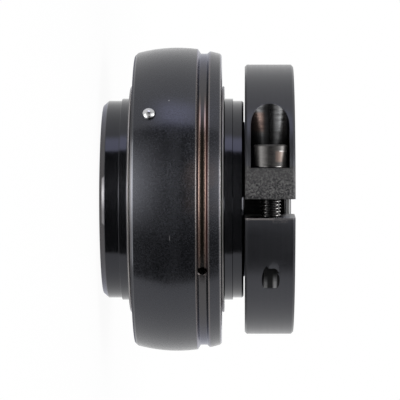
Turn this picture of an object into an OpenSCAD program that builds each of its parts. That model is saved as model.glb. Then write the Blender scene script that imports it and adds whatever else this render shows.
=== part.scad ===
// Insert ball bearing with a spherical outside and a split clamp collar.
// Lengths are millimetres and angles are degrees.
// The bearing's axis is Z and the collar is at the upper end.
// The origin lies on the axis, at the centre of the spherical outside.
// The bearing stands on the short end of its inner ring.
// Places round the axis are turned from the front, which is the minus Y side,
// and a positive turn goes towards plus X.

/* [Outer ring] */
// Diameter of the spherical outside
outer_d = 72; // [71:0.5:75]
// Width of the outer ring, without what it reaches further on the collar's side
outer_w = 20; // [19.5:0.25:21.5]
// How much further the outer ring reaches on the collar's side
outer_reach = 0.4; // [0:0.05:0.45]
// Thickness of the outer ring behind the deepest line of its raceway
outer_wall = 3.66; // [3:0.02:4.2]
// Bevel along both edges of the outside
outer_bevel = 0.5; // [0.3:0.1:1]
// Radial step from the inside of the ring out to a seal seat
seat_step = 1.1; // [0.8:0.1:1.5]

/* [Grease groove and hole] */
// Plain land between the raceway and the grease hole
grease_land = 0.68; // [0.1:0.02:0.7]
// Width of the grease groove at its mouth
grease_mouth_w = 2.8; // [2.2:0.1:3]
// Width of the grease groove at its floor
grease_floor_w = 1.6; // [1:0.1:1.8]
// Depth of the grease groove
grease_depth = 0.87; // [0.5:0.05:1.2]
// Diameter of the grease hole in the groove
grease_hole_d = 2; // [1.2:0.1:2.1]
// Turn of the grease hole from the front
grease_hole_turn = 28; // [0:1:90]

/* [Locating pin] */
// Diameter of the locating pin
pin_d = 2.8; // [2:0.1:3.5]
// How far the pin stands out of the ring
pin_stand = 1.2; // [0.6:0.1:1.8]
// Depth of the pin's hole in the ring
pin_depth = 3; // [2:0.1:4]
// Distance of the pin from the ring's lower face
pin_inset = 4.17; // [3:0.1:6]
// Turn of the pin from the front
pin_turn = -32.7; // [-90:0.1:0]
// Height of the pin's domed end
pin_dome_h = 0.7; // [0.3:0.1:1]
// Radial gap between the pin and its hole
pin_gap = 0.02; // [0.01:0.01:0.05]

/* [Balls and raceways] */
// Diameter of a ball
ball_d = 11.1125; // [10.5:0.1:11.5]
// Number of balls
ball_count = 9; // [7:1:9]
// Groove radius as a share of the ball's diameter
conformity = 0.52; // [0.51:0.005:0.54]
// Depth of each raceway below the land beside it
race_depth = 2.24; // [1.6:0.05:2.6]
// Radial gap between a ball and each raceway
race_gap = 0.03; // [0.02:0.01:0.08]

/* [Ball cage] */
// Thickness of the cage's sheet
cage_t = 0.9; // [0.6:0.05:1]
// Radial width of the cage's ribbon
cage_w = 4.3; // [3.6:0.1:5]
// Gap between a ball and its pocket
pocket_gap = 0.2; // [0.1:0.05:0.3]
// Diameter of a cage rivet
rivet_d = 1.6; // [1.2:0.1:2]
// Diameter of a rivet's head
rivet_head_d = 2.6; // [2.2:0.1:3.2]
// Height of a rivet's head
rivet_head_h = 0.6; // [0.4:0.05:0.9]
// Radial gap between a rivet and its hole
rivet_gap = 0.02; // [0.01:0.01:0.05]

/* [Inner ring] */
// Thickness of the inner ring behind the deepest line of its raceway
inner_wall = 5.2925; // [4.5:0.0005:6]
// Distance from the ball centres to the short end
short_side = 17.5; // [16.5:0.25:20]
// Distance from the ball centres to the shoulder behind the collar
shoulder_z = 15.6; // [14.5:0.1:17]
// Length of the thin neck that the collar squeezes
neck_len = 9.8; // [8:0.1:11]
// Thickness of the neck round the bore
neck_wall = 2.475; // [1.5:0.1:3.5]
// Number of fingers that the neck is slit into
finger_count = 6; // [3:1:8]
// Width of a slit between fingers
finger_slit_w = 2; // [1:0.1:2.5]
// Solid length of the neck before the slits begin
finger_root = 1.6; // [1:0.1:3]
// Bevel of the short end, along the axis
end_bevel_z = 1.4; // [0.6:0.1:2]
// Bevel of the short end, across the axis
end_bevel_r = 1.1; // [0.6:0.1:2]
// Bevel at the shoulder and at the neck's end
neck_bevel = 0.4; // [0.2:0.1:0.6]
// Bevel at both ends of the bore
bore_bevel = 0.6; // [0.3:0.1:1]

/* [Seals] */
// Gap along the axis between the cage and a seal's seat
seal_run = 0.95; // [0.85:0.05:1.1]
// Thickness of the seal's steel shell
shell_t = 0.5; // [0.3:0.05:0.6]
// How far the shell's rim stops short of the ring's face
shell_inset = 0.4; // [0.2:0.1:0.8]
// Radial gap between the shell and its seat
shell_gap = 0.02; // [0.01:0.01:0.05]
// Radial width of the rubber body on the shell's edge
lip_body_w = 1.5; // [1.2:0.1:2.5]
// Length along the axis of the rubber body
lip_body_h = 1.4; // [1.1:0.1:1.8]
// How far the shell's edge reaches into the rubber
lip_grip = 0.8; // [0.5:0.1:1]
// Radial reach of the lip from its rubber body towards the inner ring
lip_reach = 0.75; // [0.5:0.05:1]
// Thickness of the lip at its tip
lip_tip_t = 0.3; // [0.2:0.05:0.4]
// Radial gap between the lip and the inner ring
lip_gap = 0.15; // [0.1:0.05:0.3]

/* [Flingers] */
// Thickness of a flinger's sheet
flinger_t = 0.5; // [0.3:0.05:0.7]
// Radial width of a flinger's disc outside its sleeve
flinger_w = 2.9; // [2:0.1:5]
// Length of a flinger's sleeve along the inner ring
flinger_sleeve = 2.5; // [1.5:0.1:3.5]
// Gap between a flinger and the outer ring's face on the short side
flinger_lift = 0.6; // [0.5:0.1:1]
// Radial gap between a flinger's sleeve and the inner ring
flinger_gap = 0.02; // [0.01:0.01:0.05]

/* [Locking collar] */
// Outside diameter of the collar
collar_d = 64; // [62:0.5:68]
// Width of the collar
collar_w = 11.4; // [10.5:0.1:13]
// Gap between the collar and the inner ring's shoulder
collar_lift = 0.3; // [0.2:0.1:0.6]
// Radial gap between the open collar and the neck
collar_play = 0.08; // [0.03:0.01:0.1]
// Bevel along the collar's outside edges
collar_bevel = 0.5; // [0.2:0.1:0.8]
// Width of the slot through the collar
slot_w = 4.27; // [2:0.1:5]
// Turn of the slot from the line square to the screw
slot_lean = 3.1; // [0:0.1:5]
// Turn of the whole collar from the front
collar_turn = 0.8; // [-10:0.1:10]

/* [Clamp screw] */
// Diameter of the screw's thread
screw_d = 4.826; // [4:0.1:5.2]
// Length of the screw under its head
screw_len = 15.875; // [14:0.125:18]
// Diameter of the screw's head
head_d = 7.92; // [7:0.1:8.4]
// Height of the screw's head
head_h = 5.2; // [4.5:0.1:6]
// Bevel round the top of the head
head_bevel = 0.35; // [0.2:0.05:0.6]
// Width of the hexagon socket across its flats
hex_w = 3.97; // [3:0.1:4.5]
// Depth of the hexagon socket
hex_depth = 2.5; // [1.5:0.1:3.5]
// Distance from the collar's outside in to the screw's axis
screw_inset = 4.7; // [4:0.1:6]
// Thickness of the collar between the head's seat and the slot
land_t = 6.85; // [5:0.1:8]
// Radial gap between the head and its pocket
head_gap = 0.44; // [0.3:0.02:0.6]
// Gap under the head before the screw is tightened
seat_gap = 0.05; // [0.03:0.01:0.2]
// Radial gap between the screw and its plain hole
shank_gap = 0.2; // [0.1:0.05:0.4]
// Radial gap between the thread and the tapped hole round it
thread_gap = 0.05; // [0.03:0.01:0.1]
// Radial depth of the thread
thread_depth = 0.33; // [0.2:0.01:0.45]
// Length of full thread in the collar past the screw's tip
tap_spare = 1; // [0.3:0.1:1.2]

/* [Hidden] */
$fn = 96;
past = 1;

ball_r = ball_d / 2;
outer_r = outer_d / 2;
face_z = outer_w / 2;
groove_r = conformity * ball_d;
race_offset = groove_r - ball_r;
outer_race_r = outer_r - outer_wall;
pitch_r = outer_race_r - ball_r - race_gap;
inner_race_r = pitch_r - ball_r - race_gap;
land_r = outer_race_r - race_depth;
inner_r = inner_race_r + race_depth;
ball_step = 360 / ball_count;

pocket_r = ball_r + pocket_gap;
cage_half_h = pocket_r + cage_t;
seat_r = land_r + seat_step;
seat_z = cage_half_h + seal_run;

race_edge_z = sqrt(pow(groove_r, 2) - pow(groove_r - race_depth, 2));
grease_z = race_edge_z + grease_land + grease_hole_d / 2;
pin_z = face_z - pin_inset;
pin_surface_r = sqrt(pow(outer_r, 2) - pow(pin_z, 2));

bore_r = inner_race_r - inner_wall;
neck_r = bore_r + neck_wall;
long_side = shoulder_z + neck_len;

sleeve_r = inner_r + flinger_gap;
disc_z = face_z + flinger_lift;

collar_r = collar_d / 2;
collar_bore_r = neck_r + collar_play;
collar_z = shoulder_z + collar_lift;
screw_z = collar_z + collar_w / 2;
screw_r = collar_r - screw_inset;
slot_x = screw_r * tan(slot_lean);
head_seat_x = slot_x - slot_w / 2 - land_t;

black_steel = [0.16, 0.16, 0.17];
bright_steel = [0.78, 0.78, 0.8];
cage_steel = [0.6, 0.6, 0.58];
rubber = [0.07, 0.07, 0.08];

// A plain tube between two heights
module tube(inside_r, outside_r, z0, z1) {
    translate([0, 0, z0])
        difference() {
            cylinder(r = outside_r, h = z1 - z0);
            translate([0, 0, -past])
                cylinder(r = inside_r, h = z1 - z0 + 2 * past);
        }
}

// Turns a piece so that plus X points out of the front, turned by an angle
module turned_from_front(turn) {
    rotate([0, 0, turn - 90])
        children();
}

// A radial rod lying along plus X, from one distance to another
module radial_rod(r, from, to) {
    translate([from, 0, 0])
        rotate([0, 90, 0])
            cylinder(r = r, h = to - from);
}

// A low dome standing on z = 0, with the radius of its foot and its height
module low_dome(foot_r, h) {
    dome_r = (pow(foot_r, 2) + pow(h, 2)) / (2 * h);
    intersection() {
        translate([0, 0, h - dome_r])
            sphere(r = dome_r);
        cylinder(r = foot_r + past, h = h + past);
    }
}

// The round bottomed groove that the balls run in
module raceway(centre_r) {
    rotate_extrude()
        translate([centre_r, 0])
            circle(r = groove_r);
}

// What is cut away to bevel the edge of the spherical outside below a face at z = top
module edge_bevel_cutter(top) {
    edge_r = sqrt(pow(outer_r, 2) - pow(top, 2));
    rotate_extrude()
        polygon([
            [edge_r - outer_bevel, top + past / 2],
            [edge_r - outer_bevel, top],
            [edge_r + outer_bevel, top - 2 * outer_bevel],
            [outer_r + past, top - 2 * outer_bevel],
            [outer_r + past, top + past / 2]
        ]);
}

module grease_groove() {
    surface_r = sqrt(pow(outer_r, 2) - pow(grease_z, 2));
    flank = (grease_mouth_w - grease_floor_w) / 2 / grease_depth;
    floor_r = surface_r - grease_depth;
    mouth_half = grease_floor_w / 2 + flank * (grease_depth + past);
    rotate_extrude()
        polygon([
            [floor_r, grease_z - grease_floor_w / 2],
            [surface_r + past, grease_z - mouth_half],
            [surface_r + past, grease_z + mouth_half],
            [floor_r, grease_z + grease_floor_w / 2]
        ]);
}

module grease_hole() {
    turned_from_front(grease_hole_turn)
        translate([0, 0, grease_z])
            radial_rod(grease_hole_d / 2, land_r - past, outer_r + past);
}

module outer_ring() {
    color(black_steel)
        difference() {
            intersection() {
                sphere(r = outer_r);
                tube(land_r, outer_r + past, -face_z, face_z + outer_reach);
            }
            raceway(pitch_r - race_offset + race_gap);
            for (side = [0, 1])
                mirror([0, 0, side]) {
                    tube(land_r - past, seat_r, seat_z, face_z + past);
                    edge_bevel_cutter(face_z + (1 - side) * outer_reach);
                }
            grease_groove();
            grease_hole();
            turned_from_front(pin_turn)
                translate([0, 0, -pin_z])
                    radial_rod(pin_d / 2 + pin_gap, pin_surface_r - pin_depth, outer_r + past);
        }
}

// A short pin with a domed end, driven into the ring
module locating_pin() {
    shank = pin_depth + pin_stand - pin_dome_h;
    color(bright_steel)
        turned_from_front(pin_turn)
            translate([pin_surface_r - pin_depth, 0, -pin_z])
                rotate([0, 90, 0]) {
                    cylinder(r = pin_d / 2, h = shank);
                    translate([0, 0, shank])
                        low_dome(pin_d / 2, pin_dome_h);
                }
}

module inner_ring() {
    color(black_steel)
        difference() {
            rotate_extrude()
                polygon([
                    [bore_r + bore_bevel, -short_side],
                    [inner_r - end_bevel_r, -short_side],
                    [inner_r, -short_side + end_bevel_z],
                    [inner_r, shoulder_z - neck_bevel],
                    [inner_r - neck_bevel, shoulder_z],
                    [neck_r, shoulder_z],
                    [neck_r, long_side - neck_bevel],
                    [neck_r - neck_bevel, long_side],
                    [bore_r + bore_bevel, long_side],
                    [bore_r, long_side - bore_bevel],
                    [bore_r, -short_side + bore_bevel]
                ]);
            raceway(pitch_r + race_offset - race_gap);
            for (i = [0:finger_count - 1])
                turned_from_front((i + 0.5) * 360 / finger_count)
                    translate([bore_r / 2, -finger_slit_w / 2, shoulder_z + finger_root])
                        cube([neck_r, finger_slit_w, neck_len]);
        }
}

// Puts a piece at each ball's place, or at the place halfway to the next ball
module at_ball(i, share = 0) {
    turned_from_front((i + share) * ball_step)
        translate([pitch_r, 0, 0])
            children();
}

module ball(i) {
    color(bright_steel)
        at_ball(i)
            sphere(r = ball_r);
}

// One pressed half of the ribbon cage: flat webs and round pockets in one sheet
module cage_half() {
    color(cage_steel)
        difference() {
            intersection() {
                tube(pitch_r - cage_w / 2, pitch_r + cage_w / 2, 0, cage_half_h + past);
                union() {
                    cylinder(r = pitch_r + cage_w, h = cage_t);
                    for (i = [1:ball_count])
                        at_ball(i)
                            sphere(r = cage_half_h);
                }
            }
            for (i = [1:ball_count]) {
                at_ball(i)
                    sphere(r = pocket_r);
                at_ball(i, 0.5)
                    cylinder(r = rivet_d / 2 + rivet_gap, h = 4 * cage_t, center = true);
            }
        }
}

module cage_left() {
    mirror([0, 0, 1])
        cage_half();
}

module cage_right() {
    cage_half();
}

// A rivet with a low round head on both sides of the cage
module cage_rivet(i) {
    color(cage_steel)
        at_ball(i, 0.5) {
            cylinder(r = rivet_d / 2, h = 2 * cage_t, center = true);
            for (side = [0, 1])
                mirror([0, 0, side])
                    translate([0, 0, cage_t])
                        low_dome(rivet_head_d / 2, rivet_head_h);
        }
}

lip_body_r = inner_r + lip_gap + lip_reach;
shell_edge_r = lip_body_r + lip_body_w - lip_grip;

// Steel shell of the upper seal: a disc on the seat's floor and a rim up its wall
module seal_shell() {
    shell_r = seat_r - shell_gap;
    color(cage_steel)
        rotate_extrude()
            polygon([
                [shell_edge_r, seat_z],
                [shell_r, seat_z],
                [shell_r, face_z - shell_inset],
                [shell_r - shell_t, face_z - shell_inset],
                [shell_r - shell_t, seat_z + shell_t],
                [shell_edge_r, seat_z + shell_t]
            ]);
}

// Rubber of the upper seal: a body that grips the shell's edge and a leaning lip
module seal_lip() {
    body_z = seat_z + shell_t / 2 - lip_body_h / 2;
    body_top = body_z + lip_body_h;
    grip_r = shell_edge_r - shell_gap;
    color(rubber)
        rotate_extrude()
            polygon([
                [lip_body_r, body_z],
                [lip_body_r + lip_body_w, body_z],
                [lip_body_r + lip_body_w, seat_z],
                [grip_r, seat_z],
                [grip_r, seat_z + shell_t],
                [lip_body_r + lip_body_w, seat_z + shell_t],
                [lip_body_r + lip_body_w, body_top],
                [lip_body_r, body_top],
                [lip_body_r - lip_reach, body_top + lip_reach],
                [lip_body_r - lip_reach, body_top + lip_reach - lip_tip_t]
            ]);
}

// Upper flinger: a sleeve on the inner ring with a disc over the seal
module flinger() {
    disc_r = sleeve_r + flinger_t + flinger_w;
    color(black_steel)
        rotate_extrude()
            polygon([
                [sleeve_r, disc_z],
                [disc_r, disc_z],
                [disc_r, disc_z + flinger_t],
                [sleeve_r + flinger_t, disc_z + flinger_t],
                [sleeve_r + flinger_t, disc_z + flinger_sleeve],
                [sleeve_r, disc_z + flinger_sleeve]
            ]);
}

// Puts a piece on the screw's axis, with plus Z along the screw towards its tip
// and z = 0 where the head seats on the collar
module at_screw(shift = 0) {
    rotate([0, 0, collar_turn])
        translate([head_seat_x + shift, -screw_r, screw_z])
            rotate([0, 90, 0])
                children();
}

// The round pocket for the screw's head, open at the front and at the far end
module head_pocket() {
    half_w = head_d / 2 + head_gap;
    at_screw()
        rotate([180, 0, 0]) {
            cylinder(r = half_w, h = collar_r);
            translate([-half_w, 0, 0])
                cube([2 * half_w, collar_r, collar_r]);
        }
}

module locking_collar() {
    engaged = screw_len + tap_spare;
    color(black_steel)
        difference() {
            rotate_extrude()
                polygon([
                    [collar_bore_r + collar_bevel, collar_z],
                    [collar_r - collar_bevel, collar_z],
                    [collar_r, collar_z + collar_bevel],
                    [collar_r, collar_z + collar_w - collar_bevel],
                    [collar_r - collar_bevel, collar_z + collar_w],
                    [collar_bore_r + collar_bevel, collar_z + collar_w],
                    [collar_bore_r, collar_z + collar_w - collar_bevel],
                    [collar_bore_r, collar_z + collar_bevel]
                ]);
            turned_from_front(collar_turn + slot_lean)
                translate([0, -slot_w / 2, collar_z - past])
                    cube([collar_r + past, slot_w, collar_w + 2 * past]);
            head_pocket();
            at_screw() {
                translate([0, 0, -past])
                    cylinder(r = screw_d / 2 + shank_gap, h = land_t + slot_w / 2 + past);
                cylinder(r = screw_d / 2 + thread_gap, h = engaged);
                cylinder(r = screw_d / 2 - thread_depth, h = collar_r);
            }
        }
}

module collar_screw() {
    head_r = head_d / 2;
    tip_r = screw_d / 2 - thread_depth;
    color(bright_steel)
        at_screw(-seat_gap)
            difference() {
                rotate_extrude()
                    polygon([
                        [0, -head_h],
                        [head_r - head_bevel, -head_h],
                        [head_r, -head_h + head_bevel],
                        [head_r, 0],
                        [screw_d / 2, 0],
                        [screw_d / 2, screw_len - thread_depth],
                        [tip_r, screw_len],
                        [0, screw_len]
                    ]);
                translate([0, 0, -head_h - past])
                    linear_extrude(height = hex_depth + past)
                        circle(r = hex_w / 2 / cos(30), $fn = 6);
            }
}

outer_ring();
locating_pin();
inner_ring();
cage_left();
cage_right();
for (i = [1:ball_count]) {
    ball(i);
    cage_rivet(i);
}
mirror([0, 0, 1]) seal_shell();  // seal_shell_left
seal_shell();  // seal_shell_right
mirror([0, 0, 1]) seal_lip();  // seal_lip_left
seal_lip();  // seal_lip_right
mirror([0, 0, 1]) flinger();  // flinger_left
flinger();  // flinger_right
locking_collar();
collar_screw();
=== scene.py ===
import math

import bpy
import numpy as np
from mathutils import Matrix, Vector


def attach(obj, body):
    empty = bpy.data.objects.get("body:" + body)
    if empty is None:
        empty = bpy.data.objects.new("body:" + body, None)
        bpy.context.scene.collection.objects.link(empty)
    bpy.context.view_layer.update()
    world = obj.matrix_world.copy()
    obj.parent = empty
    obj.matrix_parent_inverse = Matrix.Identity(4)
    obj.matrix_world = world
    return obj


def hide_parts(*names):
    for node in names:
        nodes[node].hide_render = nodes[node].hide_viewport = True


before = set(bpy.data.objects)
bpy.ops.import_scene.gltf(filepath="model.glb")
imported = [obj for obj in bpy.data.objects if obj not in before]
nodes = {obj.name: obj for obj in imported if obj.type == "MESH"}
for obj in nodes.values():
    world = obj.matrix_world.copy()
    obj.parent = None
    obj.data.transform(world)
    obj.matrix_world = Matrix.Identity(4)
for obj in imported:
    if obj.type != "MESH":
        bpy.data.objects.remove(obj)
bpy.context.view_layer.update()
scene = bpy.context.scene
print("frame loaded:", len(nodes), "nodes")


# The bearing stands on its short end, and the photo shows it lying on its side,
# so the camera is rolled: its right is plus Z and its up is minus X.
studio = {
    "cameraDistance": 0.5786,  # from the bearing's axis, in metres
    "cameraHeight": 0.01476,
    "lens": 218.7,
    "sensor": 36.0,
    "shift": (-0.1, -0.0021),
    "clip": (0.01, 20.0),
    "floorZ": -17.5,  # from here on in millimetres
    "floorHalf": 800.0,
    "floorDrop": 0.01,
    "floorPaint": (0.86, 0.86, 0.86, 1.0),
    "floorGlow": 0.945,  # share of plain white that the camera sees in the floor
    "floorFade": (60.0, 320.0),  # how far out the floor turns wholly white
    "worldGlow": 0.62,  # what the world gives to matt surfaces
}
# Direction from the bearing, distance and size in metres, watts and tint
lamps = {
    "upper softbox": ((-1.0, -0.55, 0.45), 1.3, 0.5, 1.2, (0.92, 0.96, 1.0)),
    "end softbox": ((-0.1, -0.25, 1.0), 1.3, 0.7, 7.0, (1.0, 1.0, 1.0)),
}


class Wire:
    # One output of a shader node. Operators on it add the Math nodes.
    def __init__(self, tree, socket):
        self.tree = tree
        self.socket = socket

    def node(self, kind, sockets=None, out=0, **settings):
        made = self.tree.nodes.new(kind)
        for key, value in settings.items():
            setattr(made, key, value)
        for key, value in (sockets or {}).items():
            if isinstance(value, Wire):
                self.tree.links.new(value.socket, made.inputs[key])
            else:
                made.inputs[key].default_value = value
        return Wire(self.tree, made.outputs[out] if made.outputs else None)

    def outputs(self, *keys):
        # A wire for each of these outputs of the same node
        return [Wire(self.tree, self.socket.node.outputs[key]) for key in keys]

    def math(self, operation, a, b=0.0):
        return self.node("ShaderNodeMath", {0: a, 1: b}, operation=operation)

    def __add__(self, other):
        return self.math("ADD", self, other)

    def __sub__(self, other):
        return self.math("SUBTRACT", self, other)

    def __rsub__(self, other):
        return self.math("SUBTRACT", other, self)

    def __mul__(self, other):
        return self.math("MULTIPLY", self, other)

    def __truediv__(self, other):
        return self.math("DIVIDE", self, other)

    def __rtruediv__(self, other):
        return self.math("DIVIDE", other, self)

    def __pow__(self, other):
        return self.math("POWER", self, other)

    __radd__ = __add__
    __rmul__ = __mul__

    def between(self, low, high, start=0.0, end=1.0):
        # Smooth step from start to end as the value goes from low to high
        return self.node(
            "ShaderNodeMapRange",
            {"Value": self, "From Min": low, "From Max": high, "To Min": start, "To Max": end},
            interpolation_type="SMOOTHSTEP",
        )

    def upTo(self, low, high):
        # 1 below low, falling to 0 at high
        return self.between(low, high, 1.0, 0.0)

    def band(self, low, high, soft):
        # 1 between low and high, falling to 0 over soft on either side
        return self.between(low - soft, low) * self.upTo(high, high + soft)


def freshTree(owner):
    # An empty node tree, and a wire whose node method starts a chain in it
    owner.use_nodes = True
    owner.node_tree.nodes.clear()
    return Wire(owner.node_tree, None)


def place(start):
    # Object coordinates in millimetres: the vector, x, y, z and the distance from the Z axis
    coords = start.node("ShaderNodeTexCoord", out=3)
    vector = start.node("ShaderNodeVectorMath", {0: coords, "Scale": 1000.0}, operation="SCALE")
    x, y, z = start.node("ShaderNodeSeparateXYZ", {0: vector}).outputs(0, 1, 2)
    return vector, x, y, z, start.math("SQRT", x * x + y * y)


def most(a, b):
    return a.math("MAXIMUM", a, b)


def blendColour(mask, below, above):
    rgb = [(*c, 1.0) if isinstance(c, tuple) else c for c in (below, above)]
    return mask.node("ShaderNodeMix", {0: mask, 6: rgb[0], 7: rgb[1]}, out=2, data_type="RGBA")


def blendValue(mask, below, above):
    return mask * (above - below) + below


def seenByEye(start):
    # 1 for camera, glossy and transmission rays, which see the white background
    camera, glossy, through = start.node("ShaderNodeLightPath").outputs(
        "Is Camera Ray", "Is Glossy Ray", "Is Transmission Ray")
    return start.math("MINIMUM", camera + glossy + through, 1.0)


def makeCamera():
    data = bpy.data.cameras.new("camera")
    data.sensor_width = studio["sensor"]
    data.lens = studio["lens"]
    data.shift_x, data.shift_y = studio["shift"]
    data.clip_start, data.clip_end = studio["clip"]
    camera = bpy.data.objects.new("camera", data)
    camera.matrix_world = Matrix((
        (0.0, -1.0, 0.0, 0.0),
        (0.0, 0.0, -1.0, -studio["cameraDistance"]),
        (1.0, 0.0, 0.0, studio["cameraHeight"]),
        (0.0, 0.0, 0.0, 1.0),
    ))
    scene.collection.objects.link(camera)
    scene.camera = camera


def makeWorld():
    world = bpy.data.worlds.new("white surround")
    scene.world = world
    start = freshTree(world)
    strength = blendValue(seenByEye(start), studio["worldGlow"], 1.0)
    light = start.node("ShaderNodeBackground", {"Color": (1, 1, 1, 1), "Strength": strength})
    start.node("ShaderNodeOutputWorld", {"Surface": light})


def areaLight(name, direction, distance, size, watts, tint):
    # A square lamp out along a direction, facing the bearing
    data = bpy.data.lights.new(name, "AREA")
    data.shape = "SQUARE"
    data.size = size
    data.energy = watts
    data.color = tint
    lamp = bpy.data.objects.new(name, data)
    away = Vector(direction).normalized()
    facing = (-away).to_track_quat("-Z", "Y").to_matrix().to_4x4()
    lamp.matrix_world = Matrix.Translation(away * distance) @ facing
    lamp.visible_camera = False
    scene.collection.objects.link(lamp)


def gridFaces(rows, cols, ringRows=False, ringCols=True):
    # The quads of a grid of points, joined round its rows or columns where asked
    a, b = np.meshgrid(np.arange(rows - (not ringRows)), np.arange(cols - (not ringCols)),
                       indexing="ij")
    nextA, nextB = (a + 1) % rows, (b + 1) % cols
    quads = [a * cols + b, a * cols + nextB, nextA * cols + nextB, nextA * cols + b]
    return np.stack(quads, -1).reshape(-1, 4)


def surfaceObject(name, points, faces, material=None):
    # A mesh object from points in millimetres
    mesh = bpy.data.meshes.new(name)
    mesh.from_pydata((np.asarray(points).reshape(-1, 3) * 0.001).tolist(), [],
                     [list(f) for f in faces])
    mesh.update()
    mesh.validate()
    made = bpy.data.objects.new(name, mesh)
    scene.collection.objects.link(made)
    if material is not None:
        mesh.materials.append(material)
    return made


def makeFloor():
    half, z = studio["floorHalf"], studio["floorZ"] - studio["floorDrop"]
    floor = surfaceObject(
        "floor", [(-half, -half, z), (half, -half, z), (half, half, z), (-half, half, z)],
        [(0, 1, 2, 3)])
    paint = bpy.data.materials.new("pale floor")
    start = freshTree(paint)
    matt = start.node("ShaderNodeBsdfDiffuse", {"Color": studio["floorPaint"]})
    glow = start.node("ShaderNodeEmission", {"Color": (1, 1, 1, 1), "Strength": 1.0})
    away = place(start)[4]
    share = seenByEye(start) * away.between(*studio["floorFade"], studio["floorGlow"], 1.0)
    both = start.node("ShaderNodeMixShader", {0: share, 1: matt, 2: glow})
    start.node("ShaderNodeOutputMaterial", {"Surface": both})
    floor.data.materials.append(paint)


# The dark card gives the steel its dark middle and its pale upper and lower bands. Angles
# are in degrees round the bearing's axis from the front, and the photo's up is negative.
# A pair is where a smooth step starts and ends, and a four also gives its two values.
darkCard = {
    "near": 22.3, "radius": 620.0, "top": 1100.0, "lift": 0.6,
    "angles": (-88.0, 88.0), "columns": 49,
    "dark": (-64.0, 56.0), "darkSoft": 3.0,
    # Reflections in the turned steel come from nearer the axis when they graze the card
    "shift": (0.08, 0.22, 23.4, 36.0),
    "frontRise": (-36.0, 15.0), "frontFall": (15.0, 56.0, 0.92, 0.16), "frontLeast": 0.08,
    "floorHeight": (-17.0, -5.0),
    "floorPower": 1.6, "floorGlow": 6.5,
    "backRise": (75.0, 150.0, 0.0, 0.32), "backFrom": 70.0, "backSlope": 0.0045,
    "squareOn": (0.6, 0.95), "squareGlow": 2.2, "leastGlow": 0.010,
    "blueAngles": (54.0, 71.0, 10.0), "blueGrazing": (0.06, 0.16),
    "blueHeight": (40.0, 200.0), "blueRadius": (60.0, 140.0),
    "white": (1.0, 1.0, 1.0), "blueWhite": (1.9, 1.93, 2.45),
}


def makeDarkCard():
    # A sheet on the camera's side that lies on the floor and stands up at its far edge, as
    # (r sin a, -r cos a, z) of its profile (r, z). Only gloss shows it.
    c = darkCard
    low = studio["floorZ"] + c["lift"]
    profile = np.array([(c["near"], low), (c["radius"], low), (c["radius"], c["top"])])
    turn = np.radians(np.linspace(*c["angles"], c["columns"]))
    points = np.stack([
        profile[:, None, 0] * np.sin(turn)[None, :],
        profile[:, None, 0] * -np.cos(turn)[None, :],
        np.repeat(profile[:, None, 1], len(turn), 1),
    ], -1)
    card = surfaceObject("dark card", points, gridFaces(3, len(turn), ringCols=False))
    paint = bpy.data.materials.new("dark card")
    start = freshTree(paint)
    x, y, z, radius = place(start)[1:]
    square = 1.0 - start.node("ShaderNodeLayerWeight", {"Blend": 0.5}, out=1)
    up = start.math("ARCTAN2", x * -1.0, y * -1.0) * (180 / math.pi)
    up = up * 2.0 / (2.0 - square.between(*c["shift"]) / radius)
    lit = 1.0 - up.band(*c["dark"], c["darkSoft"])
    front = up.between(*c["frontRise"]) * up.between(*c["frontFall"]) + c["frontLeast"]
    onFloor = z.upTo(*c["floorHeight"])
    below = square ** c["floorPower"] * onFloor * c["floorGlow"]
    high = start.math("MAXIMUM", z - c["backFrom"], 0.0) * c["backSlope"]
    above = z.between(*c["backRise"]) + high
    glow = (front * (below + above)
            + square.between(*c["squareOn"]) * onFloor * c["squareGlow"] + c["leastGlow"])
    grazing = square.upTo(*c["blueGrazing"]) * onFloor
    farOut = z.upTo(*c["blueHeight"]) * radius.between(*c["blueRadius"])
    blue = up.band(*c["blueAngles"]) * most(farOut, grazing)
    colour = blendColour(lit, glow, blendColour(blue, c["white"], c["blueWhite"]))
    grey = start.node("ShaderNodeEmission", {"Color": colour, "Strength": 1.0})
    start.node("ShaderNodeOutputMaterial", {"Surface": grey})
    card.data.materials.append(paint)
    card.visible_camera = False
    card.visible_diffuse = False
    card.visible_shadow = False
    card.visible_transmission = False


scene.view_settings.view_transform = "Standard"
makeCamera()
makeWorld()
makeFloor()
makeDarkCard()
for name, settings in lamps.items():
    areaLight(name, *settings)
print("studio ready")


# Every steel shares these noises (scale, detail and roughness, with millimetres as the unit)
steelNoise = {
    "grain": (2.6, 4.0, 0.62),
    "blotch": (0.12, 3.0, 0.55),
    "lines": (5.5, 2.0, 0.7),  # turning marks, which run round the bearing's axis
    "linesAcross": 0.35,  # how slowly they change with the radius, beside the height
    "shares": (1.6, 0.9, 0.5),  # of grain, blotch and lines in a steel's shade
    "shade": (-0.8, 0.9), "roughVaries": 0.12, "grainHeight": 0.35,
    "bumpDistance": 0.001, "bumpStrength": 0.35,
    "alongMarks": 0.25,  # the turn that lays stretched highlights along the marks
}
coolTint = (0.87, 0.885, 1.0, 1.0)


def noise(vector, scale, detail, rough):
    return vector.node("ShaderNodeTexNoise",
                       {"Vector": vector, "Scale": scale, "Detail": detail, "Roughness": rough})


def steelSurface(name):
    # A new material with its place in millimetres and the shared noises, each about 0
    n = steelNoise
    material = bpy.data.materials.new(name)
    start = freshTree(material)
    vector, x, y, z, radius = place(start)
    aroundAxis = start.node("ShaderNodeCombineXYZ",
                            {0: radius * n["linesAcross"], 1: 0.0, 2: z})
    return {
        "material": material, "start": start, "vector": vector,
        "x": x, "y": y, "z": z, "radius": radius,
        "grain": noise(vector, *n["grain"]) - 0.5,
        "blotch": noise(vector, *n["blotch"]) - 0.5,
        "lines": noise(aroundAxis, *n["lines"]) - 0.5,
    }


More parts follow.
